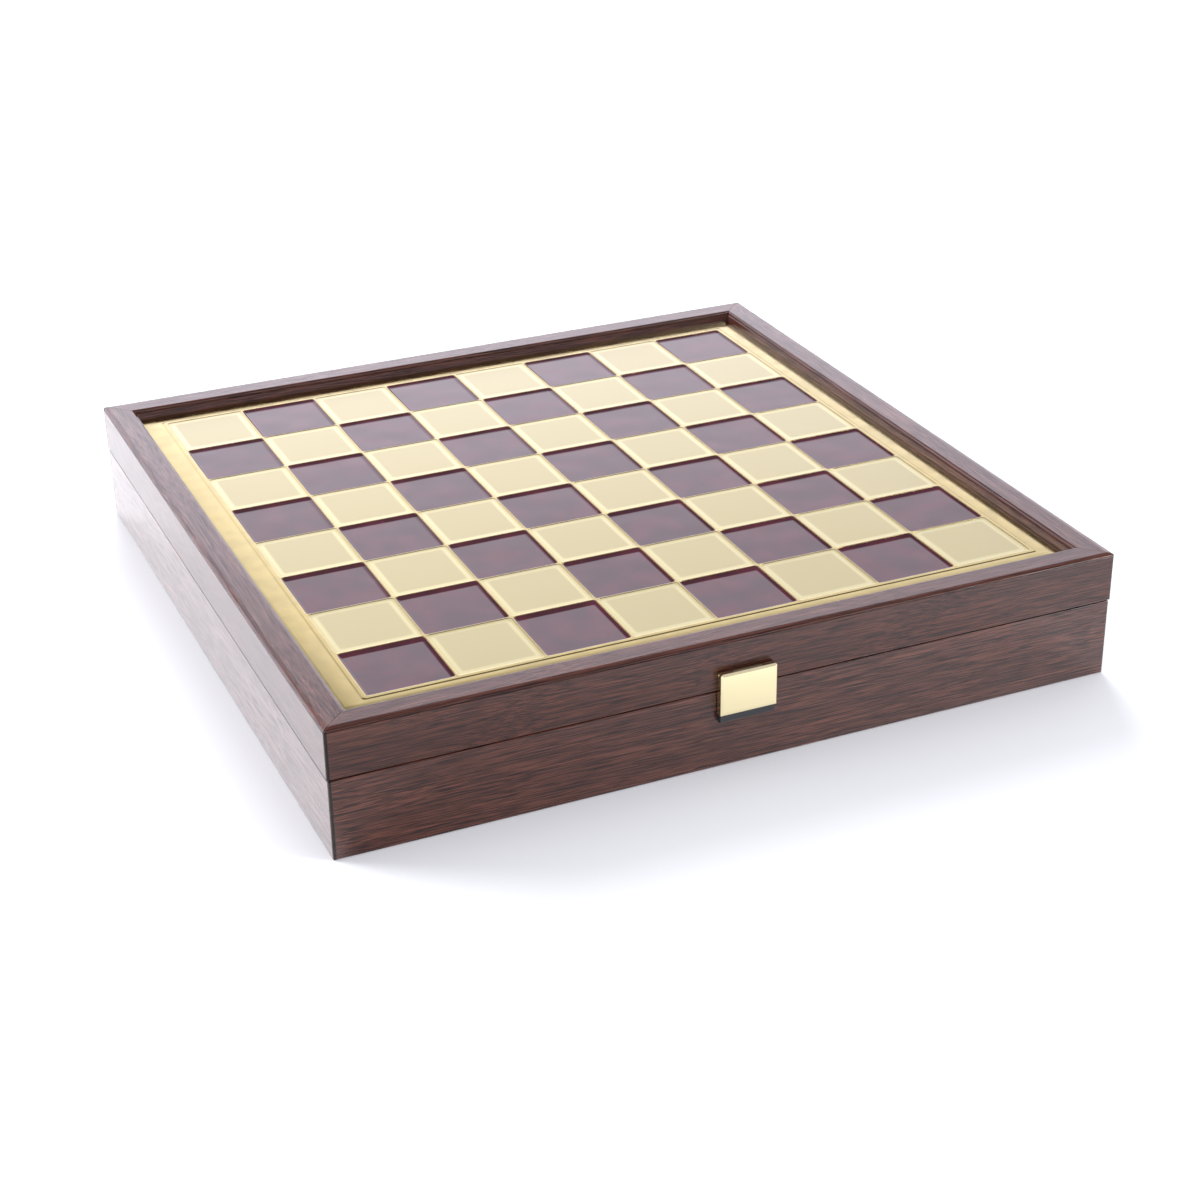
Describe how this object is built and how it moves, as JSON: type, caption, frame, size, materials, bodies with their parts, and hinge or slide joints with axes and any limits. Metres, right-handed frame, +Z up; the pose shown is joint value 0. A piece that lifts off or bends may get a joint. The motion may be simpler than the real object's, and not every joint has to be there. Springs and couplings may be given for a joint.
{
  "type": "chess storage case",
  "caption": "Square wooden chess case: hinged board lid with enamelled squares on brass, front flap clasp and a lined tray of pockets.",
  "frame": {"origin": "on the table under the middle of the case", "axes": "+X to the right along the front with the clasp, +Y from the front to the hinged back, +Z up"},
  "size_m": [0.28, 0.286, 0.046],
  "materials": {
    "wenge_veneer": "satin lacquered veneer, fine straight grain",
    "fibreboard": "bare board",
    "felt": "pressed felt",
    "velvet": "short velvet pile",
    "hinge_brass": "satin brass",
    "polished_brass": "polished brass",
    "board_brass": "satin brass sheet with raised ridges",
    "oxblood_enamel": "glossy translucent enamel",
    "clear_lacquer": "glossy clear lacquer over brass",
    "black_rubber": "satin black"
  },
  "bodies": {
    "base": {"base_front_wall": "wenge_veneer", "base_right_wall": "wenge_veneer", "base_back_wall": "wenge_veneer", "base_left_wall": "wenge_veneer", "base_bottom_panel": "fibreboard", "base_felt": "felt", "tray_floor": "velvet", "tray_edge_front": "velvet", "tray_edge_back": "velvet", "tray_edge_left": "velvet", "tray_edge_right": "velvet", "tray_row_divider_1": "velvet", "tray_row_divider_2": "velvet", "tray_row_divider_3": "velvet", "tray_cross_dividers_row_1": "velvet", "tray_cross_dividers_row_2": "velvet", "tray_cross_dividers_row_3": "velvet", "tray_cross_dividers_row_4": "velvet", "hinge_base_leaf_left": "hinge_brass", "hinge_base_leaf_right": "hinge_brass", "hinge_pin_left": "hinge_brass", "hinge_pin_right": "hinge_brass", "hinge_base_screws": "hinge_brass", "clasp_catch": "black_rubber"},
    "lid": {"lid_front_wall": "wenge_veneer", "lid_right_wall": "wenge_veneer", "lid_back_wall": "wenge_veneer", "lid_left_wall": "wenge_veneer", "rim_front": "wenge_veneer", "rim_right": "wenge_veneer", "rim_back": "wenge_veneer", "rim_left": "wenge_veneer", "board_backing": "fibreboard", "board_plate": "board_brass", "board_dark_squares": "oxblood_enamel", "board_light_squares": "clear_lacquer", "lid_lining": "velvet", "hinge_lid_leaf_left": "hinge_brass", "hinge_lid_leaf_right": "hinge_brass", "hinge_lid_screws": "hinge_brass", "clasp_leaf": "polished_brass", "clasp_leaf_screws": "polished_brass", "clasp_pin": "polished_brass"},
    "flap": {"clasp_flap": "polished_brass"}
  },
  "joints": [
    {"name": "lid_hinge", "type": "hinge", "parent": "base", "child": "lid", "pos_m": [0, 0.1416, 0.028], "axis": [-1, 0, 0], "range_deg": [0, 105]},
    {"name": "clasp_hinge", "type": "hinge", "parent": "lid", "child": "flap", "pos_m": [0, -0.1412, 0.0345], "axis": [-1, 0, 0], "range_deg": [0, 90]}
  ]
}
